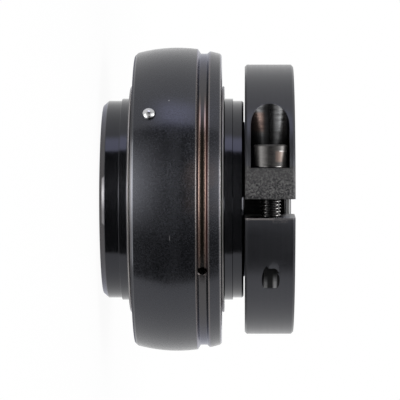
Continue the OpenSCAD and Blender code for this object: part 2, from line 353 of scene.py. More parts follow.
def mixNoise(p, grain, blotch, lines):
    # The noises added up in these shares, as a shade from 0 to 1
    added = p["grain"] * grain + p["blotch"] * blotch + p["lines"] * lines
    return added.between(*steelNoise["shade"])


def crossMarks(p, s):
    # Marks that change along x and hardly across it, about 0
    thin = s["marksAlong"]
    stretched = {0: p["x"], 1: p["y"] * thin, 2: p["z"] * thin}
    return noise(p["start"].node("ShaderNodeCombineXYZ", stretched), *s["marks"]) - 0.5


def closeSurface(p, height, ior=1.6, tint=coolTint, along=0.0):
    # Ends a steel: along stretches its highlights along the turning marks
    n, start = steelNoise, p["start"]
    bump = start.node("ShaderNodeBump", {
        "Height": height, "Distance": n["bumpDistance"], "Strength": n["bumpStrength"]})
    shader = start.node("ShaderNodeBsdfPrincipled", {
        "Base Color": p["colour"], "Roughness": p["rough"], "Metallic": p["metallic"],
        "Normal": bump, "IOR": ior, "Specular Tint": tint,
        "Anisotropic": along, "Anisotropic Rotation": n["alongMarks"]})
    start.node("ShaderNodeOutputMaterial", {"Surface": shader})
    return p["material"]


def steelMaterial(name, s, wearAndLight=None):
    # Steel from dark to pale by grain, blotches and turning marks. The function given last adds
    # what use has done to the piece, and its painted light and shade. turning and pits are the
    # heights of marks and grain.
    n, p = steelNoise, steelSurface(name)
    speckle = s.get("speckle", 1.0)
    grain, blotch, lines = n["shares"]
    shade = mixNoise(p, grain * speckle, blotch, lines)
    p["colour"] = blendColour(shade, s["dark"], s["pale"])
    p["rough"] = (shade - 0.5) * (n["roughVaries"] * speckle) + s["rough"]
    p["metallic"] = s.get("metallic", 0.0)
    if wearAndLight:
        wearAndLight(p)
    height = p["grain"] * (n["grainHeight"] * s["turning"] + s.get("pits", 0.0))
    if s.get("turned", True):
        height = height + p["lines"] * s["turning"]
    return closeSurface(p, height, s.get("ior", 1.6), along=s.get("along", 0.0))


# The outer ring's wear and painted light. off is the distance from the groove's middle, and the
# corner and wall of the groove start where their pairs say. Bands are low, high and soft.
ringWearAndLight = {
    "middle": 6.248, "grooveEdge": (1.22, 1.36), "grooveGrain": 0.25, "grooveRough": 0.24,
    # Rust in the groove, paler at the corners as a painted highlight and darker on the walls as
    # painted shade; where there is no rust, the walls are painted dark as shade
    "corner": (0.30, 0.52), "wall": (0.70, 0.86), "plainWall": (0.82, 1.0),
    "rustFloor": (0.018, 0.013, 0.008), "rustCornerHighlight": (0.300, 0.215, 0.180),
    "rustWallShade": (0.040, 0.014, 0.011),
    "plainFloorColour": (0.071, 0.068, 0.069), "plainWallShade": (0.006, 0.006, 0.006),
    "front": (-10.0, 0.0), "rusty": (-16.0, 10.0, 9.0),
    # Brown spreads a little way over the outside
    "filmStart": (1.3, 1.6), "filmEnd": (1.9, 5.5), "filmAlong": (-6.0, 0.0, 5.0),
    "filmBlotch": (-0.15, 0.10, 0.0, 0.55), "film": (0.028, 0.015, 0.008),
    # Two small marks of bare metal, by height and by x
    "speck": ((-1.38, -1.26, 0.08), (-22.42, -22.30, 0.08)),
    "scratch": ((-1.02, -0.98, 0.07), (8.4, 9.1, 0.4)), "scratchShare": 0.45,
    "mark": (0.35, 0.34, 0.34),
    # Painted highlights on the groove's lips and on the bevels of both faces
    "leftLip": (-1.50, -1.14, 0.08), "rightLip": (1.38, 1.62, 0.06), "rightLipShare": 0.9,
    "lip": (0.15, 0.135, 0.13),
    "rim": (10.16, 10.24, 0.0, 0.8), "faceRimHighlight": (0.28, 0.265, 0.26),
    "lowRim": (-9.66, -9.56), "lowFaceRimHighlight": (0.050, 0.048, 0.048), "lowRimRough": 0.2,
    "bareMetallic": 0.85,
}


def wearAndLightOuterRing(p):
    # The stained groove with painted highlights in its corners and painted shade on its walls,
    # painted highlights on its lips and face bevels, the brown film and the two marks
    w = ringWearAndLight
    x, z = p["x"], p["z"]
    across = z - w["middle"]
    off = across.math("ABSOLUTE", across)
    front = p["y"].upTo(*w["front"])
    inGroove = off.upTo(*w["grooveEdge"])
    # Rust colours with a painted highlight in the corners and painted shade on the walls
    rustAndGrooveLight = blendColour(off.between(*w["corner"]), w["rustFloor"], w["rustCornerHighlight"])
    rustAndGrooveLight = blendColour(off.between(*w["wall"]), rustAndGrooveLight, w["rustWallShade"])
    plain = blendColour(off.between(*w["plainWall"]), w["plainFloorColour"],
                        w["plainWallShade"])
    groove = blendColour(x.band(*w["rusty"]) * front, plain, rustAndGrooveLight)
    p["grain"] = p["grain"] * blendValue(inGroove, 1.0, w["grooveGrain"])
    colour = blendColour(inGroove, p["colour"], groove)
    film = off.between(*w["filmStart"]) * off.upTo(*w["filmEnd"]) * x.band(*w["filmAlong"])
    film = film * front * p["blotch"].between(*w["filmBlotch"])
    colour = blendColour(film, colour, w["film"])
    speck = z.band(*w["speck"][0]) * x.band(*w["speck"][1])
    scratch = z.band(*w["scratch"][0]) * x.band(*w["scratch"][1]) * w["scratchShare"]
    colour = blendColour((speck + scratch) * front, colour, w["mark"])
    # Painted highlights: the lips and the face bevels are painted pale bare metal
    lip = across.band(*w["leftLip"]) + across.band(*w["rightLip"]) * w["rightLipShare"]
    colour = blendColour(lip, colour, w["lip"])
    rim = z.between(*w["rim"])
    colour = blendColour(rim, colour, w["faceRimHighlight"])
    lowRim = z.upTo(*w["lowRim"])
    p["colour"] = blendColour(lowRim, colour, w["lowFaceRimHighlight"])
    p["metallic"] = most(most(inGroove, lip), most(rim, lowRim)) * w["bareMetallic"]
    rough = blendValue(inGroove, p["rough"], w["grooveRough"])
    p["rough"] = rough + lowRim * w["lowRimRough"]


flingerRimLight = {
    "radius": (26.6, 26.72), "height": (10.86, 11.0), "discRimHighlight": (0.50, 0.48, 0.47),
    "metallic": 0.85, "rough": 0.35,
}


def paintFlingerRimHighlight(p):
    # A painted highlight makes the disc's rim bright
    w, z = flingerRimLight, p["z"]
    discRimHighlight = p["radius"].between(*w["radius"]) * z.math("ABSOLUTE", z).upTo(*w["height"])
    p["colour"] = blendColour(discRimHighlight, p["colour"], w["discRimHighlight"])
    p["metallic"] = discRimHighlight * w["metallic"]
    p["rough"] = p["rough"] + discRimHighlight * w["rough"]


innerRingLight = {
    "neck": (18.7, 19.0), "neckShade": (0.010, 0.010, 0.010),
    "endHeight": (-16.45, -16.3), "endRadius": (22.0, 22.2), "end": (0.080, 0.077, 0.078),
    "endMetallic": 0.85, "endRough": 0.12,
}


def paintInnerRingLight(p):
    # Painted shade makes the neck nearly black, and a painted highlight makes the bevel of the
    # short end pale
    w = innerRingLight
    neck = p["radius"].upTo(*w["neck"])
    end = p["z"].upTo(*w["endHeight"]) * p["radius"].between(*w["endRadius"])
    colour = blendColour(neck, p["colour"], w["neckShade"])
    p["colour"] = blendColour(end, colour, w["end"])
    p["metallic"] = most(neck, end * w["endMetallic"])
    p["rough"] = p["rough"] + end * w["endRough"]


# The collar: smooth where it was turned, mottled on the block between the pocket and the
# slot, with wear and a painted highlight at the slot's lower edge, and bare in the pocket and
# the tapped hole, with painted shade and highlights there
collarSteel = {
    "dark": (0.002, 0.0022, 0.0027), "pale": (0.013, 0.0132, 0.0148), "rough": 0.38,
    "shares": (1.4, 0.9, 1.6), "roughVaries": 0.10, "along": 0.9,
    "grainHeight": 0.007, "blockGrainHeight": 0.04, "mottleHeight": 0.045,
    "linesHeight": 0.02, "marksHeight": 0.02,
    "front": (-22.0, -20.0), "block": (-7.4, 0.0, 0.2), "coarse": (1.9, 5.0, 0.8),
    "mottleGrain": 0.4, "mottle": (-0.10, 0.14), "mottleGrows": (-6.8, -1.5, 0.5, 1.15),
    "blockDark": (0.014, 0.014, 0.014), "blockPale": (0.084, 0.082, 0.080),
    "blockMetallic": 0.75, "blockRough": 0.14,
    # The slot's lower edge, by the distance across the slot: a painted highlight along its rim
    # and worn scuffs below it
    "slotLean": 3.9, "rim": (2.05, 2.5, 0.12), "rimFades": (22.0, 23.0, 1.0, 0.3),
    "scuff": (2.05, 3.0, 0.4), "scuffHeight": (22.2, 25.2, 0.5),
    "scuffPatches": (-0.05, 0.1, 0.0, 0.55), "scuffAndEdgeHighlight": (0.145, 0.135, 0.132),
    "scuffAndEdgeHighlightMetallic": 0.7,
    # The bare walls of the pocket (x below -8) and of the tapped hole; the pocket's walls have
    # painted shade down their middle, towards their bottom and on their right
    "skin": (31.75, 31.95), "holeX": (9.0, 16.4, 0.4), "holeDeeper": 0.6,
    "wallHeight": (17.3, 25.9, 0.2), "middleX": 1.6, "wallsFrom": (5.2, 5.6),
    "marks": (2.8, 4.0, 0.8), "marksAlong": 0.1, "pocketX": (-9.0, -8.0),
    "axisZ": 21.6, "pocketMiddleShadeShift": 0.35, "pocketMiddleShadeWidth": (0.65, 0.4),
    "pocketMiddleShade": (0.75, 1.5, 0.30, 1.0), "pocketRightShade": (23.3, 24.5, 0.38, 1.0),
    "pocketBottomShade": (-16.5, -12.8, 1.0, 0.38), "pocketMarks": (-0.22, 0.18, 0.25, 1.32),
    "pocketSideShade": (19.0, 24.5, 1.22, 0.9),
    "brownHeight": (20.0, 20.9), "brownX": (-19.4, -15.8, 0.8),
    "machined": (0.112, 0.113, 0.115), "stained": (0.150, 0.106, 0.092),
    "pocketWallShade": (0.002, 0.002, 0.002),
    # Two painted streaks of light in the tapped hole, whose walls are painted dark as shade:
    # height band, x band and share
    "streaks": (((22.6, 22.8, 0.55), (19.3, 20.0, 2.6), 0.5),
                ((20.5, 20.7, 0.5), (19.5, 20.0, 2.2), 0.22)),
    "streakLeast": 0.02, "streakMarks": (-0.3, 0.2, 0.5, 1.0),
    "tappedHoleShade": (0.006, 0.006, 0.006), "tappedHoleHighlight": (0.62, 0.62, 0.63),
    "bareMetallic": 0.95, "bareRough": 0.4, "pocketSmoother": 0.25,
    "bore": (18.7, 18.8), "boreHeight": (25.3, 25.6), "boreColour": (0.15, 0.15, 0.15),
    "boreMetallic": 0.9,
}


def collarMaterial():
    s = collarSteel
    p = steelSurface("blackened collar steel")
    start, x, y, z, radius, fine = (p[k] for k in ("start", "x", "y", "z", "radius", "grain"))
    coarse = noise(p["vector"], *s["coarse"]) - 0.5
    front = y.upTo(*s["front"])
    block = x.band(*s["block"]) * front
    shade = mixNoise(p, *s["shares"])
    mottle = (coarse + fine * s["mottleGrain"]).between(*s["mottle"])
    mottle = blendValue(x.between(*s["mottleGrows"]), 0.5, mottle)
    colour = blendColour(block, blendColour(shade, s["dark"], s["pale"]),
                         blendColour(mottle, s["blockDark"], s["blockPale"]))
    rough = ((shade - 0.5) * s["roughVaries"] + block * (mottle - 0.5) * s["blockRough"]
             + s["rough"])
    height = (fine * (block * s["blockGrainHeight"] + s["grainHeight"])
              + coarse * block * s["mottleHeight"] + p["lines"] * s["linesHeight"])
    lean = math.radians(s["slotLean"])
    across = x * math.cos(lean) + y * math.sin(lean)
    # A painted highlight along the slot's lower rim, and worn scuffs beside it
    rim = across.band(*s["rim"]) * z.between(*s["rimFades"])
    scuff = (across.band(*s["scuff"]) * z.band(*s["scuffHeight"])
             * coarse.between(*s["scuffPatches"]))
    scuffAndEdgeHighlight = most(rim, scuff) * front
    colour = blendColour(scuffAndEdgeHighlight, colour, s["scuffAndEdgeHighlight"])

    fromMiddle = start.math("ABSOLUTE", x + s["middleX"])
    skin = radius + x.band(*s["holeX"]) * s["holeDeeper"]
    inside = (skin.upTo(*s["skin"]) * z.band(*s["wallHeight"])
              * fromMiddle.between(*s["wallsFrom"]))
    marks = crossMarks(p, s)
    inPocket = x.upTo(*s["pocketX"])
    # Painted shade down the pocket's middle, towards its bottom and over its right side, broken
    # by the machining marks
    wide, least = s["pocketMiddleShadeWidth"]
    off = (start.math("ABSOLUTE", z - s["axisZ"] + inPocket * s["pocketMiddleShadeShift"])
           / (inPocket * wide + least))
    pocketMiddleShade = off.between(*s["pocketMiddleShade"]) * z.between(*s["pocketRightShade"])
    pocketWallLight = (pocketMiddleShade * x.between(*s["pocketBottomShade"]) * marks.between(*s["pocketMarks"])
             * z.between(*s["pocketSideShade"]))
    brown = z.upTo(*s["brownHeight"]) * x.band(*s["brownX"])
    wall = blendColour(pocketWallLight, s["pocketWallShade"],
                       blendColour(brown, s["machined"], s["stained"]))
    first, second = (z.band(*a) * x.band(*b) * share for a, b, share in s["streaks"])
    streaks = (first + second + s["streakLeast"]) * marks.between(*s["streakMarks"])
    hole = blendColour(streaks, s["tappedHoleShade"], s["tappedHoleHighlight"])
    colour = blendColour(inside, colour, blendColour(inPocket, hole, wall))

    bored = radius.upTo(*s["bore"]) * z.between(*s["boreHeight"])
    p["colour"] = blendColour(bored, colour, s["boreColour"])
    p["metallic"] = most(
        most(inside * s["bareMetallic"], scuffAndEdgeHighlight * s["scuffAndEdgeHighlightMetallic"]),
        most(block * s["blockMetallic"], bored * s["boreMetallic"]))
    p["rough"] = blendValue(inside, rough, s["bareRough"] - inPocket * s["pocketSmoother"])
    return closeSurface(p, height + inside * marks * s["marksHeight"], along=s["along"])


# The cap screw: marks round its own axis, a painted dark band and painted highlights on its
# head, painted shade in the thread roots and painted highlights on the thread crests
screwSteel = {
    "dark": (0.028, 0.027, 0.026), "pale": (0.070, 0.066, 0.064), "metallic": 0.8,
    "marks": (3.0, 3.0, 0.7), "marksAlong": 0.12, "front": (-28.5, -27.5),
    "marksShare": 2.2, "grainShare": 1.2, "marksHeight": 0.012, "grainHeight": 0.003,
    "tintHeight": (23.0, 24.6, 0.5), "tintX": (-10.6, -8.6, 0.4), "tintShare": 0.7,
    "tint": (0.130, 0.092, 0.076),
    "middle": (21.4, 23.1, 0.8), "middleShare": 0.36, "headMiddleShade": (0.002, 0.002, 0.002),
    "side": (23.7, 24.6, 0.0, 0.30), "headSideHighlight": (0.42, 0.40, 0.39),
    "headGlintX": (-10.86, -10.80, 0.08), "headGlintHeight": (23.8, 25.3, 0.3), "headGlintShare": 0.45,
    "headGlint": (0.9, 0.88, 0.86),
    # The thread, by its distance from the screw's axis: painted shade in the roots and painted
    # highlights on the crests
    "axisY": 27.3, "axisZ": 21.6, "axisSlope": 0.014, "crest": (2.16, 2.36), "behind": 0.5,
    "rightSide": (22.5, 23.4, 0.0, 0.9), "leftSide": (20.3, 20.9, 0.3), "leftShare": 0.18,
    "leastShare": 0.04, "shank": (-7.5, -7.2),
    "threadRootShade": (0.008, 0.008, 0.008), "threadCrestHighlight": (0.50, 0.485, 0.47),
    "rough": 0.31, "roughVaries": 0.12, "threadRough": 0.16,
}


def screwMaterial():
    s = screwSteel
    p = steelSurface("blackened screw steel")
    start, x, y, z, fine = (p[k] for k in ("start", "x", "y", "z", "grain"))
    marks = crossMarks(p, s)
    front = y.upTo(*s["front"])
    shade = (marks * s["marksShare"] + fine * s["grainShare"]).between(*steelNoise["shade"])
    colour = blendColour(shade, s["dark"], s["pale"])
    tint = z.band(*s["tintHeight"]) * x.band(*s["tintX"]) * front * s["tintShare"]
    colour = blendColour(tint, colour, s["tint"])
    # Painted shade down the head's middle, a painted highlight on its right side and a painted
    # glint near its top
    middle = z.band(*s["middle"]) * front * s["middleShare"]
    colour = blendColour(middle, colour, s["headMiddleShade"])
    colour = blendColour(z.between(*s["side"]) * front, colour, s["headSideHighlight"])
    headGlint = x.band(*s["headGlintX"]) * z.band(*s["headGlintHeight"]) * front * s["headGlintShare"]
    colour = blendColour(headGlint, colour, s["headGlint"])

    down = y + s["axisY"] - x * s["axisSlope"]
    sideways = z - s["axisZ"]
    out = start.math("SQRT", down * down + sideways * sideways)
    # The crests' painted highlights are brightest on the right and faint on the left
    sides = (z.between(*s["rightSide"]) + z.band(*s["leftSide"]) * s["leftShare"]
             + s["leastShare"])
    crest = out.between(*s["crest"]) * blendValue(front, s["behind"], sides)
    shank = x.between(*s["shank"])
    p["colour"] = blendColour(shank, colour,
                              blendColour(crest, s["threadRootShade"], s["threadCrestHighlight"]))
    p["metallic"] = s["metallic"]
    p["rough"] = blendValue(shank, shade * s["roughVaries"] + s["rough"], s["threadRough"])
    height = fine * s["grainHeight"] + marks * s["marksHeight"]
    return closeSurface(p, height, tint=(1.0, 1.0, 1.0, 1.0))


blackRing = steelMaterial("blackened ring steel", {
    "dark": (0.00231, 0.00253, 0.00319), "pale": (0.0098, 0.0106, 0.0128), "rough": 0.25,
    "turning": 0.008, "pits": 0.008, "speckle": 1.8, "along": 0.45}, wearAndLightOuterRing)
blackInner = steelMaterial("blackened inner steel", {
    "dark": (0.001375, 0.00165, 0.001925), "pale": (0.006, 0.0065, 0.008), "rough": 0.13,
    "turning": 0.004, "ior": 1.5}, paintInnerRingLight)
blackCollar = collarMaterial()
blackFlinger = steelMaterial("blackened flinger steel", {
    "dark": (0.0022, 0.002365, 0.00275), "pale": (0.010, 0.0105, 0.012), "rough": 0.13,
    "turning": 0.004, "ior": 1.52}, paintFlingerRimHighlight)
blackScrew = screwMaterial()
brightSteel = steelMaterial("ground bright steel", {
    "dark": (0.341, 0.341, 0.3465), "pale": (0.72, 0.72, 0.73), "rough": 0.16,
    "turning": 0.002, "metallic": 1.0, "speckle": 0.5, "turned": False})
cageSteel = steelMaterial("pressed cage steel", {
    "dark": (0.22, 0.2145, 0.2035), "pale": (0.58, 0.57, 0.55), "rough": 0.34,
    "turning": 0.006, "metallic": 1.0, "speckle": 0.8, "turned": False})
sealRubber = steelMaterial("seal rubber", {
    "dark": (0.0066, 0.0066, 0.0066), "pale": (0.03, 0.03, 0.03), "rough": 0.62,
    "turning": 0.02, "turned": False})
print("finishes ready")


def arc(centre, radius, start, end, count):
    # Points (r, z) on a circle from one angle to another, with no fillet
    a = np.radians(np.linspace(start, end, count))
    return [(centre[0] + radius * c, centre[1] + radius * s, 0.0)
            for c, s in zip(np.cos(a), np.sin(a))]


def raceway(s, middle, steps=25):
    # A ball groove's arc, from its upper edge to its lower one, about an angle of middle
    turn = math.degrees(math.asin(s["raceEdge"] / s["raceRadius"]))
    return arc((s["raceCentre"], 0), s["raceRadius"], middle + turn, middle - turn, steps)


def filleted(corners, steps=5):
    # A closed outline of (r, z, fillet) corners: each fillet is an arc that touches both
    # sides, centred on the corner's bisector at fillet / sin(half the corner's angle).
    c = np.array(corners, float)
    here, fillet = c[:, :2], c[:, 2]
    back = np.roll(here, 1, 0) - here
    ahead = np.roll(here, -1, 0) - here
    back /= np.linalg.norm(back, axis=1)[:, None]
    ahead /= np.linalg.norm(ahead, axis=1)[:, None]
    half = np.arccos(np.clip((back * ahead).sum(1), -1, 1)) / 2
    share = np.linspace(0, 1, steps + 1)[:, None]
    outline = []
    for k in range(len(c)):
        if fillet[k] == 0:
            outline.append(here[k][None])
            continue
        reach = fillet[k] / math.tan(half[k])
        bisector = back[k] + ahead[k]
        centre = here[k] + bisector / np.linalg.norm(bisector) * fillet[k] / math.sin(half[k])
        u, v = (here[k] + side * reach - centre for side in (back[k], ahead[k]))
        sweep = math.pi - 2 * half[k]
        bent = (u * np.sin((1 - share) * sweep) + v * np.sin(share * sweep)) / math.sin(sweep)
        outline.append(centre + bent)
    return np.concatenate(outline)


def turnedPiece(name, outline, segments, material, start=0.0):
    # The closed outline (r, z) swept once round Z: (r cos a, r sin a, z), from a = start.
    # Its faces point outwards where the outline goes round anticlockwise, with r to the
    # right and z up, and are turned over where its area comes out negative.
    a = np.linspace(0, 2 * math.pi, segments, endpoint=False) + math.radians(start)
    r, z = outline[:, 0], outline[:, 1]
    points = np.stack([r[:, None] * np.cos(a), r[:, None] * np.sin(a),
                       np.repeat(z[:, None], segments, 1)], -1)
    faces = gridFaces(len(outline), segments, ringRows=True)
    if np.sum(r * np.roll(z, -1) - np.roll(r, -1) * z) < 0:
        faces = faces[:, ::-1]
    return surfaceObject(name, points, faces, material)


def axesFromFront(turn):
    # Three square directions: tangential, up and out, where out is turned from the front
    t = math.radians(turn)
    return np.array([(math.cos(t), math.sin(t), 0), (0, 0, 1), (math.sin(t), -math.cos(t), 0)])


def capped(rows, count):
    # The faces of a tube of rows of points, with a flat face over each end
    last = (rows - 1) * count
    faces = gridFaces(rows, count).tolist()
    faces.append(list(range(count - 1, -1, -1)))
    faces.append(list(range(last, last + count)))
    return faces


def rodSurface(name, profile, origin, axes, material=None, segments=96, depth=None):
    # A rod with its length along the third axis: origin + s W + r (cos a U + sin a V),
    # for each (r, s) of the profile. depth(s, a) is taken off the radius, for a thread.
    profile = np.array(profile, float)
    a = np.linspace(0, 2 * math.pi, segments, endpoint=False)
    r = np.repeat(profile[:, :1], segments, 1)
    s = np.repeat(profile[:, 1:2], segments, 1)
    if depth is not None:
        r = r - depth(s, a[None, :])
    points = (np.asarray(origin, float) + s[..., None] * axes[2]
              + (r * np.cos(a))[..., None] * axes[0] + (r * np.sin(a))[..., None] * axes[1])
    return surfaceObject(name, points, capped(len(profile), segments), material)


def prism(outline, low, high, origin, axes):
    # A cutter: the closed anticlockwise outline (u, v) carried along w, as
    # origin + u U + v V + w W
    outline = np.array(outline, float)
    flat = outline[:, :1] * axes[0] + outline[:, 1:2] * axes[1] + np.asarray(origin, float)
    points = np.stack([flat + low * axes[2], flat + high * axes[2]])
    return surfaceObject("cutter", points, capped(2, len(outline)))


def holeCutter(turn, z, radius, near, surface, ease, far):
    # A radial rod that softens the hole's mouth: from one ease below the surface to two
    # above it, its radius grows by three
    wide = radius + 3 * ease
    profile = [(radius, near), (radius, surface - ease), (wide, surface + 2 * ease),
               (wide, far)]
    return rodSurface("cutter", profile, (0, 0, z), axesFromFront(turn))


meshSteps = {
    "joinCut": 0.0002, "joinSoft": 0.005,  # in millimetres
    "sharpFrom": 38.0, "smoothUpTo": 32.0,  # in degrees
    "faceWeight": 60,
}


def applyModifiers(piece):
    # Bakes the piece's modifiers into its mesh
    graph = bpy.context.evaluated_depsgraph_get()
    done = bpy.data.meshes.new_from_object(piece.evaluated_get(graph))
    old = piece.data
    piece.modifiers.clear()
    piece.data = done
    bpy.data.meshes.remove(old)


def joinClose(piece, distance):
    # Joins points that a cut has left closer together than this many millimetres
    step = piece.modifiers.new("join", "WELD")
    step.merge_threshold = distance * 0.001


def cutWith(piece, cutters):
    # Takes the cutters, which run past the faces that they cut, out of the piece
    for cutter in cutters:
        step = piece.modifiers.new("cut", "BOOLEAN")
        step.operation = "DIFFERENCE"
        step.solver = "EXACT"
        step.object = cutter
    joinClose(piece, meshSteps["joinCut"])
    applyModifiers(piece)
    for cutter in cutters:
        bpy.data.objects.remove(cutter)


def softenEdges(piece, width, radius):
    # Bevels the sharp edges that a cut has left on the outside, at this radius and beyond
    joinClose(piece, meshSteps["joinSoft"])
    applyModifiers(piece)
    mesh = piece.data
    mesh.set_sharp_from_angle(angle=math.radians(meshSteps["sharpFrom"]))
    sharp = np.zeros(len(mesh.edges), bool)
    mesh.attributes["sharp_edge"].data.foreach_get("value", sharp)
    ends = np.zeros(2 * len(mesh.edges), np.int32)
    mesh.edges.foreach_get("vertices", ends)
    points = np.zeros(3 * len(mesh.vertices))
    mesh.vertices.foreach_get("co", points)
    away = np.hypot(*points.reshape(-1, 3).T[:2]) * 1000
    chosen = sharp & (away[ends.reshape(-1, 2)].min(1) > radius)
    weights = mesh.attributes.new("bevel_weight_edge", "FLOAT", "EDGE")
    weights.data.foreach_set("value", chosen.astype(float))
    step = piece.modifiers.new("edge", "BEVEL")
    step.width = width * 0.001
    step.segments = 2
    step.limit_method = "WEIGHT"
    step.loop_slide = False
    step.use_clamp_overlap = False
    applyModifiers(piece)


def finishPiece(piece, body, slot, *replaced):
    # Shades its gentle edges smoothly and puts the piece on its body
    mesh = piece.data
    mesh.polygons.foreach_set("use_smooth", np.ones(len(mesh.polygons), bool))
    mesh.set_sharp_from_angle(angle=math.radians(meshSteps["smoothUpTo"]))
    weigh = piece.modifiers.new("weighted normals", "WEIGHTED_NORMAL")
    weigh.keep_sharp = True
    weigh.weight = meshSteps["faceWeight"]
    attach(piece, body)
    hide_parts(*replaced)


outerRing = {
    "radius": 36.0, "low": -10.0, "high": 10.4,
    "leftBevel": 0.5, "rightBevel": 0.28, "bevelFillet": 0.13,
    "land": 30.1, "landFillet": 0.1, "seat": 31.2, "seatZ": 7.60625, "seatFillet": 0.15,
    "raceCentre": 26.5615, "raceRadius": 5.7785, "raceEdge": 4.568,
    "grooveZ": 6.248, "mouthHalf": 1.43, "floorHalf": 0.77, "grooveDepth": 0.87,
    "mouthFillet": 0.30, "floorFillet": 0.42,
    "greaseHole": 1.0, "greaseTurn": 28.0, "greaseEase": 0.08,
    "pinZ": -5.83, "pinHole": 1.42, "pinTurn": -32.7, "pinEase": 0.05, "pinDepth": 3.0,
    "clear": 0.25, "clearRight": 0.2, "widePoints": 64, "narrowPoints": 10,
    "segments": 512,
}


def makeOuterRing():
    # Its outside is a sphere, r = square root of (radius squared - z squared), with 45
    # degree bevels where it meets the faces and a groove round it
    s = outerRing
    sphere, soft = s["radius"], s["bevelFillet"]

    def at(z):
        return math.sqrt(sphere ** 2 - z ** 2)

    def outsideFrom(low, high, count):
        return [(at(z), z, 0.0) for z in np.linspace(low, high, count)]

    def bevelAt(face, width):
        # The bevel's end on the face, and where its 45 degree line meets the sphere
        total = at(face) - width + abs(face)
        z = (total - math.sqrt(2 * sphere ** 2 - total ** 2)) / 2
        return at(face) - width, at(z), math.copysign(z, face)

    lowR, lowOutR, lowZ = bevelAt(s["low"], s["leftBevel"])
    highR, highOutR, highZ = bevelAt(s["high"], s["rightBevel"])
    middle, floorR = s["grooveZ"], at(s["grooveZ"]) - s["grooveDepth"]
    mouth = [middle - s["mouthHalf"], middle + s["mouthHalf"]]
    outside = (
        [(lowR, s["low"], soft), (lowOutR, lowZ, soft)]
        + outsideFrom(lowZ + s["clear"], mouth[0] - s["clear"], s["widePoints"])
        + [(at(mouth[0]), mouth[0], s["mouthFillet"]),
           (floorR, middle - s["floorHalf"], s["floorFillet"]),
           (floorR, middle + s["floorHalf"], s["floorFillet"]),
           (at(mouth[1]), mouth[1], s["mouthFillet"])]
        + outsideFrom(mouth[1] + s["clear"], highZ - s["clearRight"], s["narrowPoints"])
        + [(highOutR, highZ, soft), (highR, s["high"], soft)]
    )
    seat, land, up, f = s["seat"], s["land"], s["seatZ"], s["landFillet"]
    inside = (
        [(seat, s["high"], s["seatFillet"]), (seat, up, f), (land, up, f)]
        + raceway(s, 0)
        + [(land, -up, f), (seat, -up, f), (seat, s["low"], s["seatFillet"])]
    )
    ring = turnedPiece("outer_ring_finished", filleted(outside + inside), s["segments"],
                       blackRing)
    pinR = at(s["pinZ"])
    cutWith(ring, [
        holeCutter(s["greaseTurn"], s["grooveZ"], s["greaseHole"], s["land"] - 2, floorR,
                   s["greaseEase"], sphere + 2),
        holeCutter(s["pinTurn"], s["pinZ"], s["pinHole"], pinR - s["pinDepth"], pinR,
                   s["pinEase"], sphere + 2),
    ])
    finishPiece(ring, "outer_race", "black_steel", "outer_ring")


locatingPin = {
    "radius": 1.4, "depth": 3.0, "stand": 1.2, "dome": 0.7, "footBevel": 0.2,
    "pole": 0.01, "domeEdge": 0.05, "domePoints": 16, "segments": 128,
    "shoulder": ((0.0, 0.06), (0.015, 0.02)),  # in from the side and below the dome
}


def makeLocatingPin():
    # A rod whose end is a low dome: r = D sin t, s = top - D + D cos t, where the dome's
    # radius is D = (radius squared + dome squared) / (2 dome)
    s = locatingPin
    surface = math.sqrt(outerRing["radius"] ** 2 - outerRing["pinZ"] ** 2)
    foot, top, r = surface - s["depth"], surface + s["stand"], s["radius"]
    domeR = (r ** 2 + s["dome"] ** 2) / (2 * s["dome"])
    turn = np.linspace(math.asin((r - s["domeEdge"]) / domeR), 0.001, s["domePoints"])
    dome = [(domeR * math.sin(t), top - domeR + domeR * math.cos(t)) for t in turn]
    shoulder = [(r - inwards, top - s["dome"] - below) for inwards, below in s["shoulder"]]
    profile = [(s["pole"], foot), (r - s["footBevel"], foot), (r, foot + s["footBevel"])]
    profile += shoulder + dome
    pin = rodSurface("locating_pin_finished", profile, (0, 0, outerRing["pinZ"]),
                     axesFromFront(outerRing["pinTurn"]), brightSteel, s["segments"])
    finishPiece(pin, "outer_race", "bright_steel", "locating_pin")


innerRing = {
    "radius": 23.4075, "bore": 15.875, "low": -17.5, "shoulder": 15.6, "neck": 18.35,
    "high": 25.4, "endBevel": (1.1, 1.25), "neckBevel": 0.4, "boreBevel": 0.6,
    "boreFillet": 0.15, "fillet": 0.12, "endFillet": 0.10, "rootFillet": 0.2,
    "raceCentre": 26.946, "raceRadius": 5.7785, "raceEdge": 4.568,
    "slits": 6, "slitHalf": 1.0, "slitRoot": 17.2, "slitFillet": 0.35, "segments": 432,
}


def makeInnerRing():
    # A turned ring with a ball groove and a thin neck, which slits part into fingers
    s = innerRing
    b, n, f, inner = s["boreBevel"], s["neckBevel"], s["fillet"], s["boreFillet"]
    r, bore, neck, low, high = s["radius"], s["bore"], s["neck"], s["low"], s["high"]
    shoulder = s["shoulder"]
    endIn, endUp = s["endBevel"]
    outline = (
        [(bore, low + b, inner), (bore + b, low, inner), (r - endIn, low, f),
         (r, low + endUp, s["endFillet"])]
        + raceway(s, 180)
        + [(r, shoulder - n, f), (r - n, shoulder, f), (neck, shoulder, s["rootFillet"]),
           (neck, high - n, f), (neck - n, high, f), (bore + b, high, inner),
           (bore, high - b, inner)]
    )
    ring = turnedPiece("inner_ring_finished", filleted(outline), s["segments"], blackInner)
    half, root, top, soft = s["slitHalf"], s["slitRoot"], high + 2, s["slitFillet"]
    slit = filleted([(-half, root, soft), (half, root, soft), (half, top, 0), (-half, top, 0)])
    cutWith(ring, [
        prism(slit, bore / 2, neck + 2, (0, 0, 0), axesFromFront((k + 0.5) * 360 / s["slits"]))
        for k in range(s["slits"])
    ])
    finishPiece(ring, "inner_race", "black_steel", "inner_ring")


